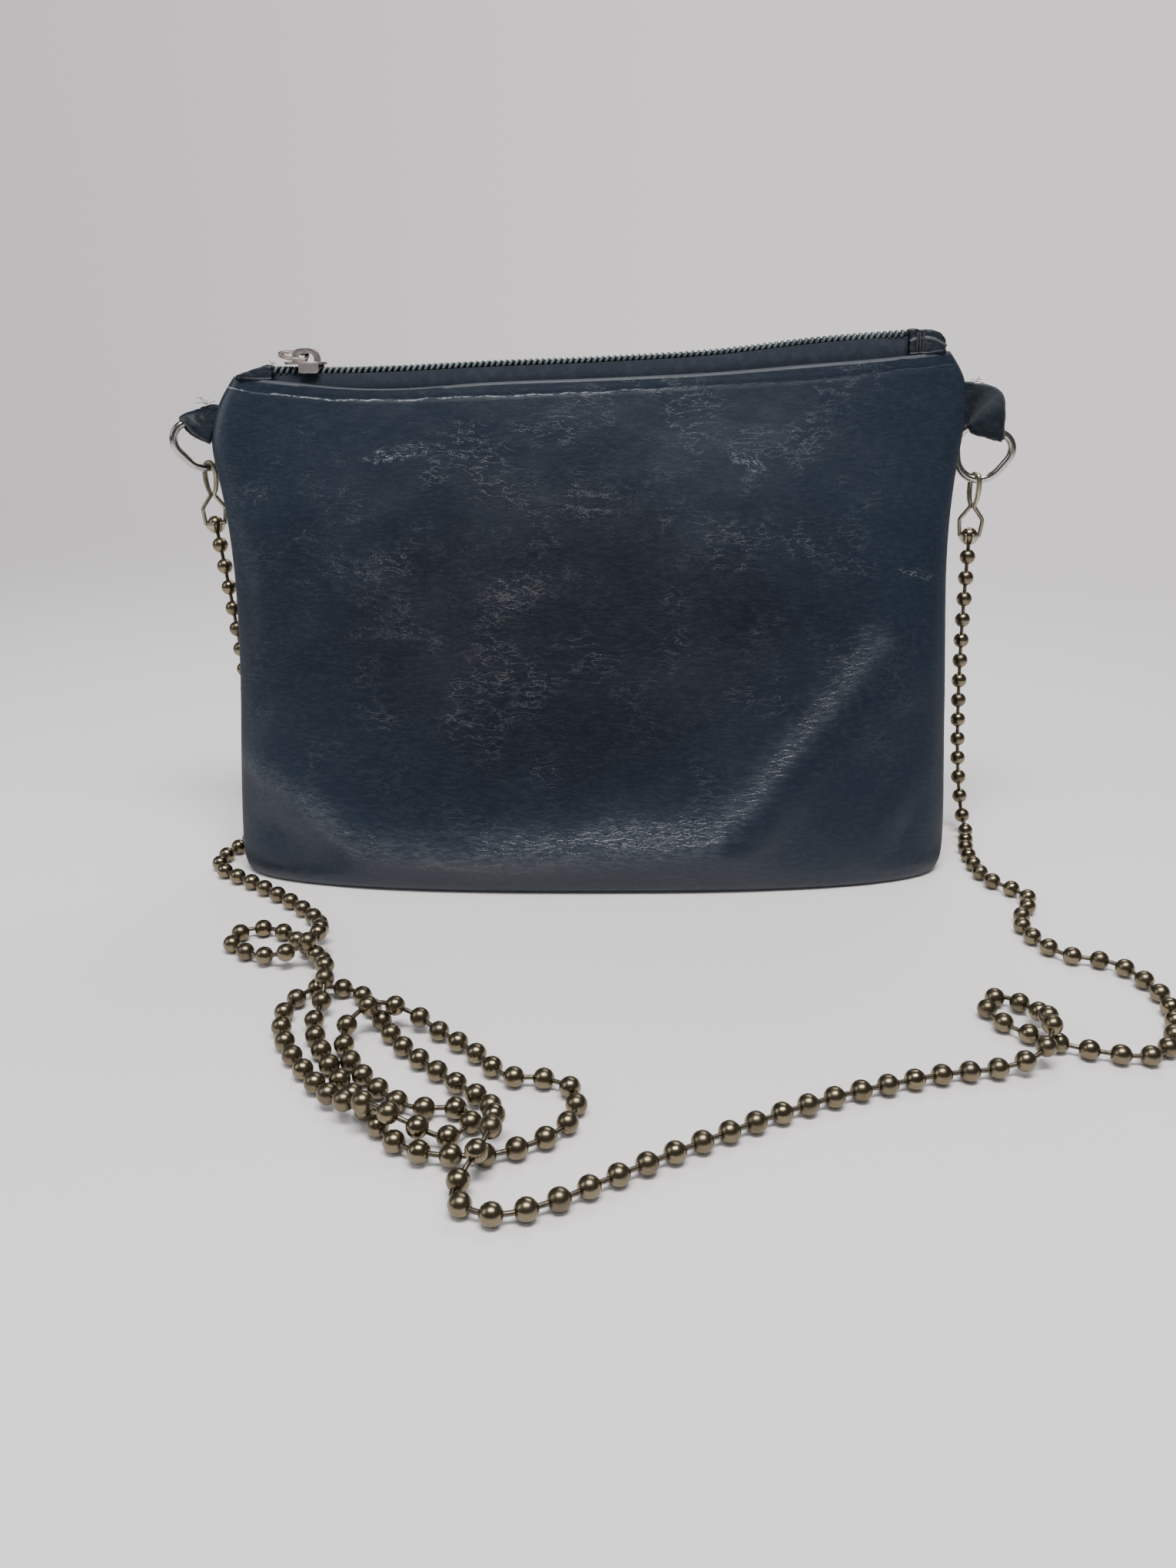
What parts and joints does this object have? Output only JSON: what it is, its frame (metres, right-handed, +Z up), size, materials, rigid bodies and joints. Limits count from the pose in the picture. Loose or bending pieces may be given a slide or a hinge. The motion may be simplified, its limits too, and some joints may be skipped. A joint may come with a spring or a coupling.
{
  "type": "crossbody bag",
  "caption": "Small zipped leather crossbody pouch that stands on its base, with side rings, wire connectors and a long ball-chain strap lying looped in front.",
  "frame": {"origin": "middle of the pouch's flattened base, on the surface that it stands on", "axes": "+X along the zip to the right as the front is seen, -Y towards the front, +Z up"},
  "size_m": [0.2334, 0.1783, 0.1376],
  "materials": {
    "panel_front": "waxed, worn, soft sheen",
    "panel_back": "waxed, worn, soft sheen",
    "zip_tape": "woven tape, matte",
    "zip_teeth": "nylon coil, satin",
    "slider_metal": "worn nickel",
    "pull_metal": "worn nickel",
    "zip_end": "waxed, creased",
    "tab": "waxed, folded, raw edges",
    "ring_metal": "polished nickel wire",
    "connector_metal": "antique brass wire",
    "chain_metal": "antique brass beads"
  },
  "bodies": {
    "bag": {"front_panel": "panel_front", "back_panel": "panel_back", "zip_tape_front": "zip_tape", "zip_tape_back": "zip_tape", "zip_coil": "zip_teeth", "zip_slider": "slider_metal", "zip_end_left": "zip_end", "zip_end_right": "zip_end", "tab_left": "tab", "tab_right": "tab", "d_ring_left": "ring_metal", "d_ring_right": "ring_metal", "connector_left": "connector_metal", "connector_right": "connector_metal", "chain": "chain_metal"},
    "zip_pull": {"zip_pull": "pull_metal"}
  },
  "joints": [
    {"name": "zip_pull_hinge", "type": "hinge", "parent": "bag", "child": "zip_pull", "pos_m": [-0.07391, 0.02749, 0.13043], "axis": [0, 1, 0], "range_deg": [0, 155]}
  ]
}
